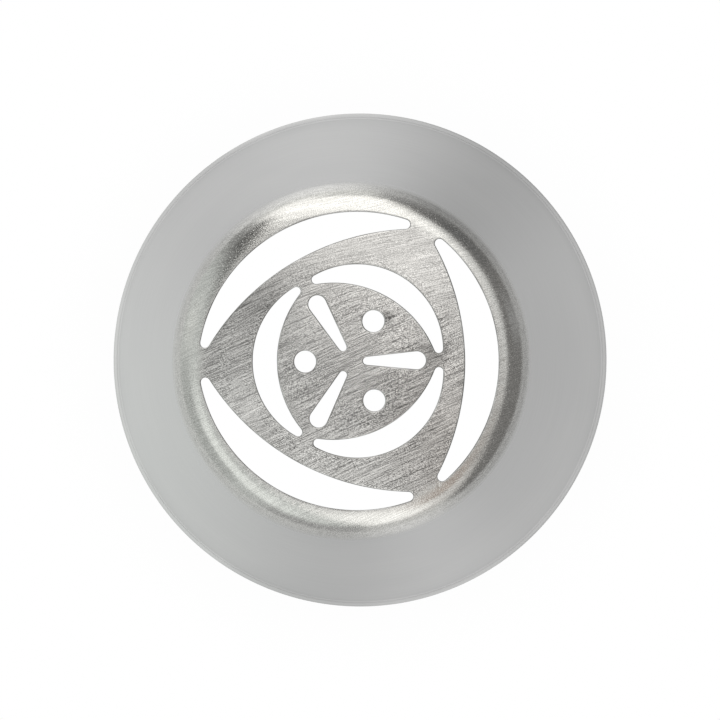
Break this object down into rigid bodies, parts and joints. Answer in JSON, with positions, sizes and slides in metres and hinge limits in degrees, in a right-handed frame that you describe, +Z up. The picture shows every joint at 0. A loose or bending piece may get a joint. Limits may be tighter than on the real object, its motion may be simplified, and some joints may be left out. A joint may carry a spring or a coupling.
{
  "type": "piping nozzle",
  "caption": "Seamless tapered steel piping nozzle, open at the wide base, with crescent petals, drop-shaped slots and round holes cut through its slightly crowned tip.",
  "frame": {"origin": "centre of the wide rim, on the surface the nozzle stands on", "axes": "+Z up the nozzle's axis towards the tip face; +X through the middle of one large petal"},
  "size_m": [0.037, 0.037, 0.04],
  "materials": {
    "stainless_steel": "satin taper, fine straight brushing across the slightly crowned tip face, grainy bead-like bend between them"
  },
  "bodies": {
    "root": {"nozzle_shell": "stainless_steel"}
  },
  "joints": []
}
